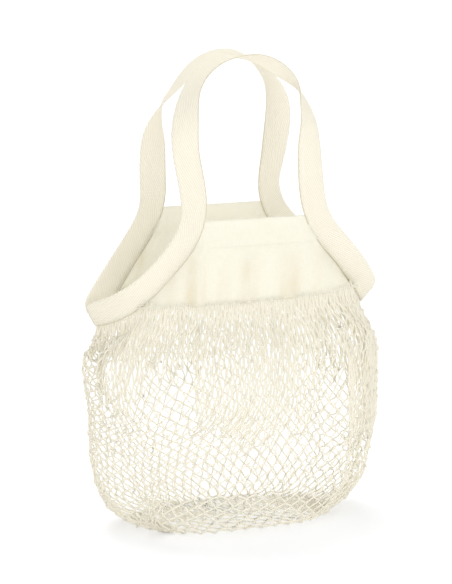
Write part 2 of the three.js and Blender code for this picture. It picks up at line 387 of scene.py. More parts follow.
def grid_uvs(u, v, wrap_columns=False, u_round=0.0):
    """The cloth places of the corners of grid_quads; u_round is u's length once round."""
    rows, columns = u.shape
    last = columns if wrap_columns else columns - 1
    i, j = np.meshgrid(np.arange(rows - 1), np.arange(last), indexing="ij")
    j2 = (j + 1) % columns
    turn = np.where(j2 < j, u_round, 0.0)
    corners = [(i, j, 0), (i, j2, turn), (i + 1, j2, turn), (i + 1, j, 0)]
    places = [np.stack([u[a, b] + extra, v[a, b]], -1) for a, b, extra in corners]
    return np.stack(places, 2).reshape(-1, 4, 2)


# ---- edges of the band ----
def band_bottom(x, side):
    """The cloth's lower edge, where the net is sewn on."""
    depth = NECK_HALF_DEPTH * np.sqrt(np.maximum(0, 1 - (x / NECK_HALF_WIDTH) ** 2))
    return vec(x, side * depth, BAND_BOTTOM_Z + BAND_TILT * x / NECK_HALF_WIDTH)


def slant_outer(t, side, hand):
    """The tape's outer edge, from the top of the leg (0) to the side seam (1)."""
    t = np.asarray(t, float)
    sag = SLANTS[hand]["sag"] * 4 * t * (1 - t)
    return vec(hand * (LEG_OUTER_X + (EAR_X - LEG_OUTER_X) * t),
               side * TOP_HALF_DEPTH * (1 - np.maximum(t, 0) ** EDGE_BULGE_POWER),
               TOP_Z + (EAR_Z - TOP_Z) * t - sag)


def tape_across(t, side, hand):
    """Direction from the tape's outer edge to its inner one."""
    step = 0.01
    t = np.asarray(t, float)
    t0 = np.minimum(t, 1 - step)
    run = unit(slant_outer(t0 + step, side, hand) - slant_outer(t0, side, hand))
    turn = math.radians(FACE_TURN) * t ** 2
    at_leg, at_side = SLANTS[hand][side]
    tilt = np.radians(at_leg + (at_side - at_leg) * t ** 1.5) * smooth(t, 0, LEG_BLEND)
    face = vec(hand * np.sin(turn) * np.cos(tilt), side * np.cos(turn) * np.cos(tilt), np.sin(tilt))
    across = unit(np.cross(face, run))
    across = np.where(across[..., 2:] > 0, -across, across)
    lean = math.radians(SLANTS[hand]["lean"])
    seam = np.array([-hand * math.sin(lean), 0, -math.cos(lean)])
    share = smooth(t, 0.6, 1)[..., None]
    return unit(across * (1 - share) + seam * share)


def slant_inner(t, side, hand, extra=0.0):
    """The tape's inner edge, or a line that lies farther in by the extra width."""
    return slant_outer(t, side, hand) + tape_across(t, side, hand) * (TAPE_WIDTH + extra)


def mitre(side, hand, extra=0.0):
    """Where the inner edge turns from the upright leg into the slant."""
    a, b = slant_inner(np.array([0, 0.08]), side, hand, extra)
    x = hand * (LEG_INNER_X - extra)
    return a + (b - a) * (x - a[0]) / (b[0] - a[0])


def cloth_share(side, hand, extra=0.0):
    """The slant's share whose inner edge still has cloth below it."""
    t = np.linspace(0, 1, 201)
    p = slant_inner(t, side, hand, extra)
    clear = p[:, 2] - band_bottom(p[:, 0], side)[:, 2] > SMALLEST_BAND_HEIGHT
    return t[np.argmin(clear) - 1] if not clear.all() else 1.0


# ---- tapes ----
def slant_edges(side, hand):
    """The slanted tape's two edges, from the leg to the side seam."""
    t = np.sin(np.linspace(0, 0.5 * math.pi, SLANT_STEPS))
    outer = slant_outer(t, side, hand)
    inner = slant_inner(t, side, hand)
    inner[0] = mitre(side, hand)
    gap = side * SIDE_GAP * smooth(t, 0.8, 1)[:, None] * np.array([0, 1, 0])
    near_ear = np.clip((t - EAR_START) / EAR_REACH, 0, 1)
    corner = EAR_ROUND * (1 - np.sqrt(1 - near_ear ** 2))[:, None]
    across = unit(inner - outer)
    return outer + gap + across * corner, inner + gap


def loop_edges(side):
    """The handle's two edges, from the left leg over the top to the right one."""
    stations = catmull(LOOPS[side], LOOP_STEPS)
    t = np.linspace(0, 1, LOOP_STEPS)
    lean = LOOP_LEAN * np.sin(math.pi * t)
    centre = vec(stations[:, 0], side * (TOP_HALF_DEPTH - lean), stations[:, 1])
    run = unit(np.gradient(centre[:, [0, 2]], axis=0))
    turn = np.radians(stations[:, 2])
    across = vec(run[:, 1] * np.cos(turn), side * np.sin(turn), -run[:, 0] * np.cos(turn))
    across *= TAPE_WIDTH / 2
    return centre - across, centre + across


def tape_edges(side):
    """The whole tape's outer and inner edge, from the left side seam to the right one."""
    left_outer, left_inner = slant_edges(side, LEFT)
    right_outer, right_inner = slant_edges(side, RIGHT)
    loop_outer, loop_inner = loop_edges(side)
    skip = 3
    outer = np.vstack([left_outer[::-1], loop_outer[skip:-skip], right_outer])
    inner = np.vstack([left_inner[::-1], loop_inner[skip:-skip], right_inner])
    return soften(outer, EDGE_SOFTENING), soften(inner, EDGE_SOFTENING)


def tape_surface(side):
    """Middle surface of a tape: its points, its normals, the run along it, and the places
    across it from -1 at the outer edge to 1 at the inner one."""
    outer, inner = tape_edges(side)
    middle = 0.5 * (outer + inner)
    v = along(middle)
    w = np.linspace(-1, 1, TAPE_COLUMNS + 1)
    points = middle[:, None] + 0.5 * (inner - outer)[:, None] * w[None, :, None]
    run = unit(np.gradient(middle, axis=0))
    normal = unit(np.cross(run, unit(inner - outer)))
    share = v / v[-1]
    cup = np.zeros_like(v)
    for place, length, depth in TAPE_CUPS[side]:
        cup += depth * np.exp(-((share - place) / length) ** 2)
    ripple = np.zeros_like(v)
    for number, (height, length) in enumerate(TAPE_RIPPLES, 1):
        ripple += height * np.sin(v / length + number * side)
    ripple *= smooth(share, 0.15, 0.24) * (1 - smooth(share, 0.76, 0.85))
    shape = cup[:, None] * (w[None] ** 2 - 0.35) + ripple[:, None] * (1 - 0.5 * w[None] ** 2)
    points = points + normal[:, None] * shape[..., None]
    return points, normal, v, w


def tape_piece(name, side, material, replaced):
    """One tape from side seam to side seam, with rounded edges and raised selvedges."""
    points, normal, v, w = tape_surface(side)
    half = 0.5 * TAPE_THICKNESS * np.sqrt(np.maximum(0, 1 - np.abs(w) ** 9)) + THINNEST_EDGE
    selvedge = SELVEDGE_RISE * np.exp(-((np.abs(w) - 0.88) / 0.07) ** 2)
    rise = (half + selvedge)[None, :, None] * normal[:, None]
    ring = np.concatenate([points + rise, (points - rise)[:, ::-1]], axis=1)
    rows, columns = ring.shape[:2]
    u = np.concatenate([w, w[::-1]]) * TAPE_WIDTH / 2
    u_grid = np.broadcast_to(u, (rows, columns))
    v_grid = np.broadcast_to(v[:, None], (rows, columns))
    quads = grid_quads(rows, columns, wrap_columns=True)
    uvs = grid_uvs(u_grid, v_grid, wrap_columns=True)
    caps, cap_uvs = end_caps(rows, columns, u, v)
    tape = make_piece(name, ring.reshape(-1, 3), np.vstack([quads, caps]),
                      np.concatenate([uvs, cap_uvs]), material, replaced)


def end_caps(rows, columns, u, v):
    """Closes both ends of a swept flat section whose two faces mirror each other."""
    half = columns // 2
    k = np.arange(half - 1)
    first = np.stack([k, columns - 1 - k, columns - 2 - k, k + 1], -1)
    last = (rows - 1) * columns + first[:, ::-1]
    uvs = [np.stack([u[quads % columns], np.full(quads.shape, at)], -1)
           for quads, at in ((first, v[0]), (last, v[-1]))]
    return np.vstack([first, last]), np.concatenate(uvs)


# ---- cloth panels ----
def panel_top(side, overlap, whole=False):
    """The panel's upper edge from left to right, hidden behind the tapes at its slants. The
    whole line runs on below the cloth as far out as the tapes go."""
    halves = []
    for hand in (LEFT, RIGHT):
        share = 1.0 if whole else cloth_share(side, hand, -overlap)
        slant = slant_inner(np.linspace(0, share, 30), side, hand, -overlap)
        slant = slant[:np.argmax(slant[:, 0] * hand) + 1]
        corner = mitre(side, hand, -overlap)[None]
        halves.append(np.vstack([corner, slant[slant[:, 0] * hand > corner[0, 0] * hand]]))
    flat_x = np.linspace(-LEG_INNER_X - overlap, LEG_INNER_X + overlap, 25)
    flat = vec(flat_x, side * TOP_HALF_DEPTH, TOP_Z)
    return np.vstack([halves[0][::-1], flat, halves[1]])


def panel_grid(side):
    """Outer surface of a cloth panel as a grid of points, from its top edge down."""
    top = panel_top(side, SEAM_OVERLAP)
    top = np.stack([np.interp(x_even(top), top[:, 0], top[:, i]) for i in range(3)], -1)
    bottom = band_bottom(top[:, 0], side)
    share = np.linspace(0, 1, PANEL_ROWS + 1)[:, None, None]
    grid = top[None] * (1 - share) + bottom[None] * share
    grid[..., 1] += behind_tape(top, bottom, share[..., 0], side)
    x, z = grid[..., 0], grid[..., 2]
    below_hem = smooth(HEM_LINE_Z + 3 - z, 0, HEM_HEIGHT)
    rise = np.zeros_like(x)
    for place, width, depth in PUCKERS[side]:
        rise += depth * np.exp(-((x - place) / width) ** 2)
    waves = np.sin(x / GATHER_LENGTH + 1.5 * np.sin(x / 17))
    gather = GATHER_DEPTH * waves * smooth(share[..., 0], 0.8, 1)
    stitched = -STITCH_DENT * np.exp(-(z - HEM_LINE_Z) ** 2)
    belly = CLOTH_BELLY * np.sin(math.pi * share[..., 0])
    clear_of_tape = smooth(grid[0, :, 2] - z, SEAM_OVERLAP, 4 * SEAM_OVERLAP)
    outward = (belly + rise * below_hem) * clear_of_tape + gather + stitched
    grid[..., 1] += side * (outward + CLOTH_SET[side])
    return grid


def behind_tape(top, bottom, share, side):
    """How far the cloth leaves its straight fall, so that it passes under the tape's edge."""
    edge = panel_top(side, 0, whole=True)
    edge_y = np.interp(top[:, 0], edge[:, 0], edge[:, 1])
    edge_z = np.interp(top[:, 0], edge[:, 0], edge[:, 2])
    at = np.clip((top[:, 2] - edge_z) / (top[:, 2] - bottom[:, 2]), 0.02, 0.9)
    straight = top[:, 1] + (bottom[:, 1] - top[:, 1]) * at
    return (edge_y - straight) * np.minimum(share / at, 1 - smooth(share, at, 1))


def painted_crease_shade(grid, side):
    """How much painted crease shade each point of a panel gets, from 0 to 1; the hem stays smooth.
    """
    x, z = grid[..., 0], grid[..., 2]
    shade = np.zeros_like(x)
    for place, width, strength in PAINTED_CREASE_SHADES[side]:
        leaning = place + 0.1 * (z - BAND_BOTTOM_Z)
        wavering = 0.75 + 0.25 * np.sin(z / 7 + place)
        shade += strength * wavering * np.exp(-((x - leaning) / width) ** 2)
    return shade * smooth(HEM_LINE_Z - z, 0, 24)


def x_even(top):
    """Evenly spaced x along the panel's upper edge."""
    return np.linspace(top[0, 0], top[-1, 0], PANEL_COLUMNS + 1)


def inner_face(grid, side):
    """The panel's inside: the hem is thicker than the cloth below it."""
    normal = unit(np.cross(np.gradient(grid, axis=0), np.gradient(grid, axis=1)))
    normal *= np.sign(normal[..., 1:2] * side)
    hem = smooth(grid[..., 2], HEM_LINE_Z - 0.8, HEM_LINE_Z + 0.8)
    thick = CLOTH_THICKNESS * (1 + 0.5 * hem)
    return grid - normal * thick[..., None]


def sheet_quads(rows, columns):
    """Quads of a closed sheet whose outer grid of points is followed by its inner one."""
    count = rows * columns
    outside = grid_quads(rows, columns)
    inside = grid_quads(rows, columns, start=count)[:, ::-1]
    rim = np.concatenate([np.arange(columns), columns - 1 + columns * np.arange(1, rows),
                          count - 2 - np.arange(columns - 1),
                          columns * np.arange(rows - 2, 0, -1)])
    after = np.roll(rim, -1)
    edge = np.stack([after, rim, rim + count, after + count], -1)
    return np.vstack([outside, inside, edge])


def panel_piece(name, side, material, replaced):
    """One cloth panel with its puckers and its painted crease shade, and the grid of points that
    its stitches follow.
    """
    grid = panel_grid(side)
    points = grid.reshape(-1, 3)
    verts = np.concatenate([points, inner_face(grid, side).reshape(-1, 3)])
    quads = sheet_quads(*grid.shape[:2])
    if side == FRONT:
        quads = quads[:, ::-1]
    flat = np.concatenate([points, points])[:, [0, 2]]
    piece = make_piece(name, verts, quads, flat[quads], material, replaced)
    # How much painted crease shade each point gets, kept on the panel
    painted_shade = piece.data.attributes.new("painted_shade", "FLOAT", "POINT")
    painted_shade.data.foreach_set("value", np.tile(painted_crease_shade(grid, side).ravel(), 2))
    return grid


# ---- net ----
FINE_PROFILE = catmull(NET_PROFILE, 120)


def profile_at(z, column):
    """One column of the net's profile at a height, on a smooth line."""
    return np.interp(z, FINE_PROFILE[:, 0], FINE_PROFILE[:, column])


def net_top(u):
    """The net's sewn edge all round: u is 0 at the middle of the front, 2 at the back's."""
    u = (np.asarray(u, float) + 1) % 4 - 1
    points = np.zeros(u.shape + (3,))
    for side, middle, mirror in ((FRONT, 0, 1), (REAR, 2, -1)):
        for hand in (LEFT, RIGHT):
            local = (u - middle) * mirror
            here = (np.abs(u - middle) <= 1) & (np.sign(local + 1e-9) == hand)
            a = np.abs(local[here])
            share = cloth_share(side, hand)
            end = abs(slant_inner(np.array([share]), side, hand)[0, 0])
            cloth = band_bottom(hand * end * a / CLOTH_QUARTER, side)
            t = share + (1 - share) * np.clip((a - CLOTH_QUARTER) / (1 - CLOTH_QUARTER), 0, 1)
            tape = slant_inner(t, side, hand)
            points[here] = np.where((a <= CLOTH_QUARTER)[:, None], cloth, tape)
    return points


def meridians(count):
    """Lines down the net from its sewn edge, under the bag to the middle of its bottom."""
    u = np.linspace(-1, 3, count + 1)
    top = net_top(u)
    angle = u * math.pi / 2
    level = np.linspace(0, 1, MERIDIAN_STEPS)[:, None]
    z = top[None, :, 2] * (1 - level)
    half = np.where(np.sin(angle)[None] < 0, profile_at(z, 1), profile_at(z, 2))
    belly = vec(half * np.sin(angle), -profile_at(z, 3) * np.cos(angle), z)
    start = np.broadcast_to(top, belly.shape).copy()
    start[..., 2] = z
    share = smooth(level, 0, NECK_BLEND)[..., None]
    wall = start * (1 - share) + belly * share
    under = np.linspace(0, 1, UNDER_STEPS + 1)[1:, None, None]
    seam = wall[-1] * np.array([UNDER_SEAM, 0, 1])
    floor = wall[-1] * (1 - under) + seam * under
    lines = np.concatenate([wall, floor])
    lines[..., 2] = np.maximum(lines[..., 2], FLOOR_GAP)
    return u, lines


def row_levels(part):
    """How far down each row starts; the rows under the bag lie wider apart."""
    rows = np.arange(part["rows"] + 1)
    if part["end"] < 1:
        return np.linspace(part["start"], part["end"], len(rows))
    turn = part["rows"] - UNDER_ROWS
    return np.interp(rows, (0, turn, part["rows"]), (part["start"], 1 - UNDER_SHARE, 1))


def lattice(part):
    """Knots of a part of the net before it settles: rows of points round the bag."""
    columns = 180
    u, lines = meridians(columns)
    fine = 120
    lines = np.stack([resample(lines[:, k], fine) for k in range(columns + 1)], 1)
    row_level = row_levels(part)
    odd = np.arange(part["rows"] + 1)[:, None] % 2
    even = (np.arange(part["cells"])[None] + 0.5 * odd) * 4 / part["cells"]
    level = np.broadcast_to(row_level[:, None], even.shape)
    place = np.stack([guided(line, at) for line, at in zip(even, row_level)])
    level = sagged(place, level)
    return surface_at(place, level, u, lines), place, level


def guided(even, level):
    """Where the cells that start at these places along the band have moved to at a level."""
    lines = np.array(GUIDES)
    start = np.concatenate([lines[:, 0] - 4, lines[:, 0], lines[:, 0] + 4])
    now = np.array([np.interp(level, GUIDE_LEVELS, line) for line in lines])
    now = np.concatenate([now - 4, now, now + 4])
    fine = np.arange(-4, 8, 0.01)
    blur = np.hanning(23)
    shift = np.pad(np.interp(fine, start, now) - fine, len(blur) // 2, mode="edge")
    smoothed = np.convolve(shift, blur / blur.sum(), mode="valid")
    return even + np.interp(even, fine, smoothed)


def offset_from(place, level, centre, height):
    """How far knots lie from a point of the net, across and down, in millimetres."""
    across = ((place - centre + 2) % 4 - 2) * QUARTER_ROUND
    down = level * DOWN_LENGTH - (BAND_BOTTOM_Z - height)
    return across, down


def sagged(place, level):
    """Lets parts of the rows hang lower or ride up."""
    moved = level.copy()
    for centre, height, width, reach, drop in SAGS:
        across, down = offset_from(place, level, centre, height)
        share = np.exp(-(across / (width * QUARTER_ROUND)) ** 2 - (down / reach) ** 2)
        moved += drop / DOWN_LENGTH * share * smooth(level, 0, 0.2) * (1 - smooth(level, 0.8, 1))
    return np.clip(moved, 0, 1)


def stray(place, level):
    """How far each knot strays from its even place."""
    amount = np.full_like(place, EVEN_STRAY)
    for centre, height, radius, most in CRUMPLES:
        across, down = offset_from(place, level, centre, height)
        amount += most * np.exp(-(np.hypot(across, down) / radius) ** 2)
    return amount * smooth(level, 0, 0.08)


def surface_at(place, level, u, lines):
    """Points on the net's surface at places round the bag and shares of the way down."""
    x = ((place + 1) % 4) / 4 * (len(u) - 1)
    y = level * (len(lines) - 1)
    i, j = np.minimum(x.astype(int), len(u) - 2), np.minimum(y.astype(int), len(lines) - 2)
    fx, fy = (x - i)[..., None], (y - j)[..., None]
    top = lines[j, i] * (1 - fx) + lines[j, i + 1] * fx
    low = lines[j + 1, i] * (1 - fx) + lines[j + 1, i + 1] * fx
    return top * (1 - fy) + low * fy


def fold_depth(place, level):
    """How far each knot lies inside the net's even outline, in the folds."""
    depth = np.zeros_like(place)
    for top, bottom, start, end, width, deep in FOLDS:
        centre = top + (bottom - top) * level
        here = smooth(level, start - 0.05, start + 0.1) * (1 - smooth(level, end - 0.1, end + 0.1))
        away = (place - centre + 2) % 4 - 2
        depth += deep * here * np.exp(-(away / width) ** 2)
    return depth * smooth(level, 0, 0.12)


def lower_neighbours(r, cells):
    """Columns of the two knots below each knot of row r, to its left and to its right."""
    k = np.arange(cells)
    return ((k - 1) % cells, k) if r % 2 == 0 else (k, (k + 1) % cells)


def settle(knots, depth, loose, held, rng):
    """Lets the net hang: bars keep their length down to the row called held, and the bag's
    shape holds it from inside."""
    target = knots + rng.normal(0, 1, knots.shape) * loose[..., None]
    p = target.copy()
    for _ in range(RELAX_STEPS):
        p[1:-1, :, 2] -= RELAX_GRAVITY
        p[1:-1] += SHAPE_MEMORY * (target[1:-1] - p[1:-1])
        for first in (0, 1):
            rows = np.arange(first, held, 2)
            for below in lower_neighbours(first, p.shape[1]):
                keep_length(p, rows, below)
        hold_shape(p, depth)
        p[0], p[-1] = knots[0], knots[-1]
    return p


def keep_length(p, rows, below):
    """Draws in long bars and spreads short ones between these rows and the next."""
    upper = p[rows]
    lower = p[rows + 1][:, below]
    gap = lower - upper
    length = np.linalg.norm(gap, axis=-1, keepdims=True)
    wanted = np.clip(length, SHORTEST_BAR * BAR_LENGTH, BAR_LENGTH)
    weight = np.where(length > BAR_LENGTH, LONG_BAR_PULL, SHORT_BAR_PUSH)
    move = gap * (1 - wanted / np.maximum(length, 1e-6)) * weight
    p[rows] = upper + move
    q = p[rows + 1]
    q[:, below] = lower - move
    p[rows + 1] = q


def hold_shape(p, depth):
    """Keeps the knots inside the net's outline and outside what its fullness would hold."""
    z = np.clip(p[..., 2], 0, NET_PROFILE[-1, 0])
    half = np.where(p[..., 0] < 0, profile_at(z, 1), profile_at(z, 2))
    deep = profile_at(z, 3)
    share = np.hypot(p[..., 0] / half, p[..., 1] / deep)
    most = 1 - np.maximum(depth, 0) / deep
    least = np.minimum(INNER_SHARE, most) * smooth(z, 2, 18) - np.minimum(depth, 0) / deep
    wanted = np.clip(share, np.minimum(least, most), most)
    scale = wanted / np.maximum(share, 1e-6)
    p[..., 0] *= scale
    p[..., 1] *= scale
    p[..., 2] = np.maximum(p[..., 2], FLOOR_GAP)


def joint_frames(p):
    """At each knot the run of its four bars, the way across and the way out."""
    count = len(p)
    up = np.zeros_like(p)
    side = np.zeros_like(p)
    for r in range(count):
        a, b = lower_neighbours(r, p.shape[1])
        above = p[max(r - 1, 0)]
        below = p[min(r + 1, count - 1)]
        up[r] = (above[a] + above[b]) - (below[a] + below[b])
        side[r] = (above[b] + below[b]) - (above[a] + below[a])
    up = unit(up)
    out = unit(np.cross(side, up))
    return up, unit(np.cross(up, out)), out


def strand_paths(p, rng):
    """Every yarn pair of a part of the net as a line of points down its rows."""
    up, side, out = joint_frames(p)
    count, cells = p.shape[:2]
    strands = 2 * cells
    j = np.arange(strands)
    entry = np.zeros((count, strands, 3))
    leave = np.zeros((count, strands, 3))
    lead = np.zeros((count, strands, 3))
    for r in range(count):
        left = (j + r) % 2 == 0
        column = np.where(left, j, j + 1) % strands
        k = column // 2
        hand = np.where(left, 1.0, -1.0)[:, None]
        over = np.where((k + r) % 2 == 0, CROSS_OVER, -CROSS_OVER)[:, None] * hand
        centre = p[r, k] + hand * PAIR_SET * YARN_RADIUS * side[r, k] + over * out[r, k]
        entry[r] = centre + 0.5 * JOINT_LENGTH * up[r, k]
        leave[r] = centre - 0.5 * JOINT_LENGTH * up[r, k]
        lead[r] = -up[r, k]
    return bars_between(entry, leave, lead, rng)


def bars_between(entry, leave, lead, rng):
    """Curved bars from joint to joint, with the joints' own short stretch."""
    pieces = []
    count = len(entry)
    for r in range(count):
        pieces.append(entry[r])
        pieces.append(leave[r])
        if r + 1 == count:
            break
        a, b = leave[r], entry[r + 1]
        span = np.linalg.norm(b - a, axis=1, keepdims=True)
        slack = np.sqrt(np.maximum(0, FREE_LENGTH ** 2 - span ** 2))
        bow = slackness(slack, rng) * unit(np.cross(b - a, rng.normal(0, 1, a.shape)))
        for s in np.arange(1, BAR_STEPS) / BAR_STEPS:
            h1 = s ** 3 - 2 * s ** 2 + s
            h2 = s ** 3 - s ** 2
            base = a + (b - a) * (3 * s ** 2 - 2 * s ** 3)
            curve = base + 0.4 * span * (h1 * lead[r] + h2 * lead[r + 1])
            pieces.append(curve + bow * 4 * s * (1 - s))
    return np.stack(pieces, 1)


def slackness(slack, rng):
    """How far each bar bows to one side."""
    return 0.1 + 0.4 * slack * rng.uniform(0.2, 1, slack.shape)


def tubes(paths, radius):
    """Round yarns along many paths of the same number of points."""
    count, steps = paths.shape[:2]
    run = unit(np.gradient(paths, axis=1))
    outward = paths * np.array([1.0, 2.0, 0.0]) + np.array([0, 0, 1e-3])
    across = unit(np.cross(run, unit(outward)))
    lift = np.cross(across, run)
    turn = np.linspace(0, 2 * math.pi, YARN_SIDES, endpoint=False)
    ring = (across[:, :, None] * np.cos(turn)[:, None] + lift[:, :, None] * np.sin(turn)[:, None])
    verts = paths[:, :, None] + ring * radius[..., None, None]
    u = np.broadcast_to(np.arange(YARN_SIDES) / YARN_SIDES, (steps, YARN_SIDES))
    quads, uvs = [], []
    base = grid_quads(steps, YARN_SIDES, wrap_columns=True)
    for n in range(count):
        v = np.broadcast_to(along(paths[n])[:, None], (steps, YARN_SIDES))
        quads.append(base + n * steps * YARN_SIDES)
        uvs.append(grid_uvs(u, v, wrap_columns=True, u_round=1.0))
    return verts.reshape(-1, 3), np.concatenate(quads), np.concatenate(uvs)


def outward_of(points):
    """Level direction away from the bag's middle."""
    return unit(points * np.array([0.2, 1, 0]))


def settled_part(part, rng):
    """The knots of a part of the net where they come to rest."""
    knots, place, level = lattice(part)
    held = part["rows"] - (UNDER_ROWS if part["end"] == 1 else 0)
    return settle(knots, fold_depth(place, level), stray(place, level), held, rng)


def handover(part, rng):
    """The row of each strand where the gathers end and the wide cells begin."""
    strands = 2 * part["cells"]
    even = (np.arange(strands) * 4 / strands + 1) % 4 - 1
    reach = np.array(GATHERS)
    level = np.interp(even, reach[:, 0], reach[:, 1], period=4)
    level += rng.normal(0, RAGGED, strands)
    row = np.searchsorted(row_levels(part), level)
    return np.clip(row, 2, part["rows"] - 2)


def joined(narrow, wide, narrow_end, wide_start, knots):
    """Cuts the strands where they hand over, and ties the upper ones to the lower knots."""
    lengths = []
    for path, row in zip(narrow, narrow_end):
        kept = path[:row * POINTS_A_ROW + 1].copy()
        kept[-1] = knots[np.argmin(np.linalg.norm(knots - kept[-1], axis=1))]
        lengths.append(kept)
    for path, row in zip(wide, wide_start):
        lengths.append(path[row * POINTS_A_ROW:])
    return lengths


def net_pieces(material):
    """The net's front and rear halves, each a piece of many yarns."""
    rng = np.random.default_rng(SEED)
    top = settled_part(NARROW, rng)
    top[0] += NET_TUCK * np.array([0, 0, 1]) - TUCK_DEPTH * outward_of(top[0])
    low = settled_part(WIDE, rng)
    paths = joined(strand_paths(top, rng), strand_paths(low, rng),
                   handover(NARROW, rng), handover(WIDE, rng), low.reshape(-1, 3))
    for name, side in (("net_front", FRONT), ("net_rear", REAR)):
        own = [path for path in paths if np.sign(np.mean(path[:, 1])) == side]
        verts, quads, uvs = yarns(own, rng)
        make_piece(name, verts, quads, uvs, material, ["net_body"])


def yarns(paths, rng):
    """Round yarns along paths of any number of points."""
    parts = []
    start = 0
    for count in sorted({len(path) for path in paths}):
        same = np.stack([path for path in paths if len(path) == count])
        same[..., 2] = np.maximum(same[..., 2], LOWEST_YARN)
        fuller = 1 + (GATHERED_YARN - 1) * smooth(same[..., 2], 110, 200)
        radius = YARN_RADIUS * fuller * (1 + rng.normal(0, UNEVEN_YARN, same.shape[:2]))
        verts, quads, uvs = tubes(same, radius)
        parts.append((verts, quads + start, uvs))
        start += len(verts)
    return [np.concatenate(group) for group in zip(*parts)]


# ---- stitching ----
def stitch_rows(name, rows, material):
    """Machine stitches laid as short threads along lines of points."""
    shape = np.array([0.0, 0.25, 0.5, 0.75, 1.0])
    sink = np.array([-0.35, 0.1, 0.2, 0.1, -0.35])
    paths = []
    for line, outward in rows:
        run = along(line)
        place = np.arange(0.5, run[-1] - STITCH_LENGTH, STITCH_LENGTH + STITCH_GAP)
        for at in place:
            s = at + STITCH_LENGTH * shape
            points = np.stack([np.interp(s, run, line[:, i]) for i in range(3)], -1)
            out = np.stack([np.interp(s, run, outward[:, i]) for i in range(3)], -1)
            paths.append(points + unit(out) * sink[:, None])
    paths = np.array(paths)
    radius = np.broadcast_to(STITCH_RADIUS * np.array([0.6, 1, 1, 1, 0.6]), paths.shape[:2])
    verts, quads, uvs = tubes(paths, radius)
    make_piece(name, verts, quads, uvs, material, ())


def panel_stitches(grid, side):
    """Stitches under the hem and along the band's lower edge."""
    out = np.array([0, side, 0.0])
    tall = grid[0, :, 2] > HEM_LINE_Z + 2
    hem = line_at_height(grid[:, tall], HEM_LINE_Z)
    lower = grid[-1] * 0.94 + grid[-4] * 0.06
    lower[:, 2] = grid[-1][:, 2] + SEAM_STITCH_RISE
    return [(line, np.broadcast_to(out, line.shape)) for line in (hem, lower)]


def line_at_height(grid, height):
    """Where a grid of falling columns crosses a height."""
    line = []
    for c in range(grid.shape[1]):
        z = grid[::-1, c, 2]
        line.append([np.interp(height, z, grid[::-1, c, i]) for i in range(3)])
    return np.array(line)


def tape_stitches(side):
    """Stitches near the inner edge of the slanted tape, on both of its faces."""
    points, normal, v, w = tape_surface(side)
    rows = []
    ends = SLANT_STEPS - 1
    for part in (slice(0, ends), slice(len(v) - ends, len(v))):
        line = points[part, TAPE_COLUMNS - 1]
        out = normal[part] * np.sign(normal[part][:, 1:2] * side)
        rows.append((line + out * 0.5 * TAPE_THICKNESS, out))
        rows.append((line - out * 0.5 * TAPE_THICKNESS, -out))
    return rows


# ---- materials ----
def new_material(name, roughness, sheen):
    """A dull material, with its node tree and its shader."""
    material = bpy.data.materials.new(name)
    material.use_nodes = True
    tree = material.node_tree
    shader = tree.nodes["Principled BSDF"]
    shader.inputs["Roughness"].default_value = roughness
    shader.inputs["Sheen Weight"].default_value = sheen
    shader.inputs["Sheen Roughness"].default_value = 0.6
    shader.inputs["Specular IOR Level"].default_value = 0.15
    return material, tree, shader


def math_node(tree, operation, *values):
    """The result of a sum on numbers or on other nodes' results."""
    node = tree.nodes.new("ShaderNodeMath")
    node.operation = operation
    for socket, value in zip(node.inputs, values):
        if isinstance(value, (int, float)):
            socket.default_value = value
        else:
            tree.links.new(value, socket)
    return node.outputs[0]


def weighted(tree, *parts):
    """Patterns added up, each times its weight."""
    total = None
    for pattern, weight in parts:
        part = math_node(tree, "MULTIPLY", pattern, weight)
        total = part if total is None else math_node(tree, "ADD", total, part)
    return total


def cloth_axes(tree):
    """Place on the cloth in millimetres, across and along."""
    uv = tree.nodes.new("ShaderNodeUVMap")
    uv.uv_map = "cloth_mm"
    split = tree.nodes.new("ShaderNodeSeparateXYZ")
    tree.links.new(uv.outputs["UV"], split.inputs[0])
    return uv.outputs["UV"], split.outputs["X"], split.outputs["Y"]


def noise(tree, vector, scale, detail=3.0, stretch=(1, 1, 1)):
    """Fine random unevenness from 0 to 1."""
    mapping = tree.nodes.new("ShaderNodeMapping")
    mapping.inputs["Scale"].default_value = stretch
    tree.links.new(vector, mapping.inputs["Vector"])
    texture = tree.nodes.new("ShaderNodeTexNoise")
    texture.inputs["Scale"].default_value = scale
    texture.inputs["Detail"].default_value = detail
    tree.links.new(mapping.outputs[0], texture.inputs["Vector"])
    return texture.outputs["Fac"]


def wave(tree, value, period):
    """A ripple from 0 to 1 along a value, with the given period."""
    turns = math_node(tree, "MULTIPLY", value, 2 * math.pi / period)
    half = math_node(tree, "MULTIPLY", math_node(tree, "SINE", turns), 0.5)
    return math_node(tree, "ADD", half, 0.5)


def colour_between(tree, share, stops):
    """A colour that runs between stops as the share runs from 0 to 1."""
    ramp = tree.nodes.new("ShaderNodeValToRGB")
    ramp.color_ramp.elements[0].position = stops[0][0]
    ramp.color_ramp.elements[0].color = (*stops[0][1], 1)
    ramp.color_ramp.elements[1].position = stops[-1][0]
    ramp.color_ramp.elements[1].color = (*stops[-1][1], 1)
    for position, colour in stops[1:-1]:
        ramp.color_ramp.elements.new(position).color = (*colour, 1)
    tree.links.new(share, ramp.inputs["Fac"])
    return ramp.outputs["Color"]


def weave(tree, shader, share, stops, relief):
    """Colours thin cotton by a pattern, raises the pattern and lets some light through."""
    colour = colour_between(tree, share, stops)
    bump = tree.nodes.new("ShaderNodeBump")
    bump.inputs["Distance"].default_value = relief
    tree.links.new(share, bump.inputs["Height"])
    through = tree.nodes.new("ShaderNodeBsdfTranslucent")
    for node, socket in ((shader, "Base Color"), (through, "Color")):
        tree.links.new(colour, node.inputs[socket])
        tree.links.new(bump.outputs["Normal"], node.inputs["Normal"])
    mix = tree.nodes.new("ShaderNodeMixShader")
    mix.inputs["Fac"].default_value = LIGHT_THROUGH
    tree.links.new(shader.outputs[0], mix.inputs[1])
    tree.links.new(through.outputs[0], mix.inputs[2])
    tree.links.new(mix.outputs[0], tree.nodes["Material Output"].inputs["Surface"])


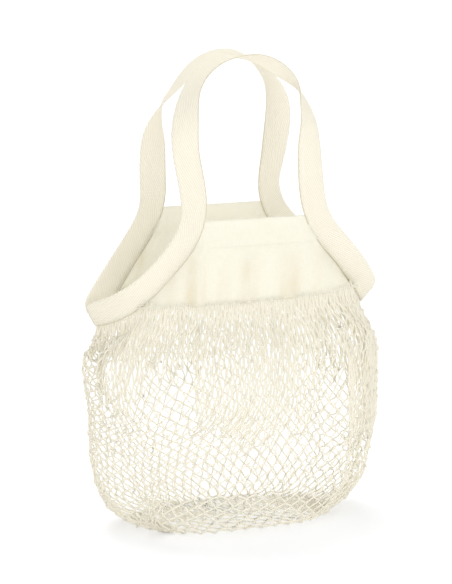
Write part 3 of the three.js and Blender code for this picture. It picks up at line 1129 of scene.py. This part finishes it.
def net_material():
    """Two-ply cotton yarn: slanting plies and slight unevenness."""
    material, tree, shader = new_material("cotton_net", 0.9, 0.15)
    uv, around, length = cloth_axes(tree)
    ply = wave(tree, weighted(tree, (around, PLY_PITCH), (length, 1.0)), PLY_PITCH)
    fuzz = noise(tree, uv, 1.3, 4.0, (6, 1, 1))
    share = weighted(tree, (ply, 0.45), (fuzz, 0.55))
    weave(tree, shader, share, [(0.15, YARN_SHADE), (0.6, YARN_LIGHT)], 0.0003)
    return material


def cloth_material():
    """Plain-weave cotton: fine threads both ways, thicker slubs here and there, and painted warm
    shade in the creases.
    """
    material, tree, shader = new_material("cotton_cloth", 0.92, 0.1)
    uv, across, length = cloth_axes(tree)
    # Painted shade in the creases, read from the amount kept on the panel
    painted_shade = tree.nodes.new("ShaderNodeAttribute")
    painted_shade.attribute_name = "painted_shade"
    warp = wave(tree, across, WARP_PITCH)
    weft = wave(tree, length, WEFT_PITCH)
    slub = noise(tree, uv, 0.35, 5.0, (2.4, 0.4, 1))
    cross_slub = noise(tree, uv, 0.35, 5.0, (0.4, 2.4, 1))
    threads = weighted(tree, (warp, 0.5), (weft, 0.5))
    slubs = weighted(tree, (slub, 0.35), (cross_slub, 0.35))
    share = weighted(tree, (threads, 0.3), (slubs, 1.0), (painted_shade.outputs["Fac"], -0.45))
    stops = [(0.0, CLOTH_PAINTED_CREASE_SHADE), (0.34, CLOTH_SHADE), (0.56, CLOTH_LIGHT)]
    weave(tree, shader, share, stops, 0.0004)
    return material


def tape_material():
    """Twill tape: steep slanting ribs, mirrored on its other face, and a painted shadow line along
    its inner edge."""
    material, tree, shader = new_material("cotton_tape", 0.92, 0.12)
    uv, across, length = cloth_axes(tree)
    rib = wave(tree, weighted(tree, (across, 1.0), (length, TWILL_LEAN)), TWILL_PITCH)
    fuzz = noise(tree, uv, 0.5, 4.0, (3, 1, 1))
    share = weighted(tree, (rib, 0.6), (fuzz, 0.4))
    # A painted shadow line darkens the tape's inner edge
    inside = math_node(tree, "LESS_THAN", across, TAPE_WIDTH / 2 - PAINTED_SHADOW_LINE_WIDTH)
    share = math_node(tree, "MULTIPLY", share, inside)
    stops = [(0.0, TAPE_EDGE_PAINTED_SHADOW), (0.1, TAPE_SHADE), (0.7, TAPE_LIGHT)]
    weave(tree, shader, share, stops, 0.0004)
    return material


# ---- scene ----
def add_camera():
    """A long lens in front of the bag, a little above it and to its left."""
    a, e = math.radians(CAMERA_AZIMUTH), math.radians(CAMERA_ELEVATION)
    back = Vector((math.sin(a) * math.cos(e), -math.cos(a) * math.cos(e), math.sin(e)))
    data = bpy.data.cameras.new("camera")
    data.sensor_fit = "VERTICAL"
    data.sensor_height = SENSOR_HEIGHT
    data.lens = LENS
    data.clip_end = 100
    camera = bpy.data.objects.new("camera", data)
    camera.location = (Vector(CAMERA_TARGET) + back * CAMERA_DISTANCE) * MM
    camera.rotation_euler = back.to_track_quat("Z", "Y").to_euler()
    bpy.context.scene.collection.objects.link(camera)
    bpy.context.scene.camera = camera


def place_light(name, data, place, target):
    """Puts a light at its place and aims it at the target."""
    light = bpy.data.objects.new(name, data)
    light.location = place
    light.rotation_euler = (Vector(place) - Vector(target)).to_track_quat("Z", "Y").to_euler()
    bpy.context.scene.collection.objects.link(light)


def add_fill():
    """A round soft light from the front."""
    data = bpy.data.lights.new("fill", "AREA")
    data.shape = "DISK"
    data.size = FILL_SIZE
    data.energy = FILL_POWER
    place_light("fill", data, FILL_PLACE, LIGHT_TARGET)


def add_sun():
    """A wide soft light from above and behind, which lets the shadow fall forwards."""
    data = bpy.data.lights.new("sky", "SUN")
    data.energy = SUN_STRENGTH
    data.angle = math.radians(SUN_ANGLE)
    place_light("sky", data, SUN_FROM, (0, 0, 0))


def add_studio():
    """An even white surrounding with the two lights."""
    world = bpy.data.worlds.new("studio")
    world.use_nodes = True
    background = world.node_tree.nodes["Background"]
    background.inputs["Color"].default_value = (1, 1, 1, 1)
    background.inputs["Strength"].default_value = WORLD_LIGHT
    bpy.context.scene.world = world
    add_sun()
    add_fill()
    bpy.context.scene.view_settings.view_transform = "Standard"


def add_floor():
    """A white table that is lit a little from below."""
    mesh = bpy.data.meshes.new("floor")
    corners = [(x * TABLE_HALF, y * TABLE_HALF, 0) for x, y in ((-1, -1), (1, -1), (1, 1), (-1, 1))]
    mesh.from_pydata(corners, [], [(0, 1, 2, 3)])
    material, tree, shader = new_material("floor", 0.8, 0.0)
    coordinates = tree.nodes.new("ShaderNodeTexCoord")
    grain = noise(tree, coordinates.outputs["Object"], 3.0)
    stops = [(0.3, TABLE_SHADE), (0.7, TABLE_LIGHT)]
    tree.links.new(colour_between(tree, grain, stops), shader.inputs["Base Color"])
    shader.inputs["Emission Color"].default_value = (1, 1, 1, 1)
    shader.inputs["Emission Strength"].default_value = TABLE_GLOW
    mesh.materials.append(material)
    floor = bpy.data.objects.new("floor", mesh)
    bpy.context.scene.collection.objects.link(floor)


def build():
    """The whole picture: camera, lights, table and the bag's pieces."""
    add_camera()
    add_studio()
    add_floor()
    net, cloth, tape = net_material(), cloth_material(), tape_material()
    for side, label in ((FRONT, "front"), (REAR, "rear")):
        grid = panel_piece(label + "_cloth", side, cloth, [label + "_panel"])
        tape_piece(label + "_tape", side, tape, [label + "_handle"])
        rows = panel_stitches(grid, side) + tape_stitches(side)
        stitch_rows(label + "_stitching", rows, cloth)
    net_pieces(net)


build()
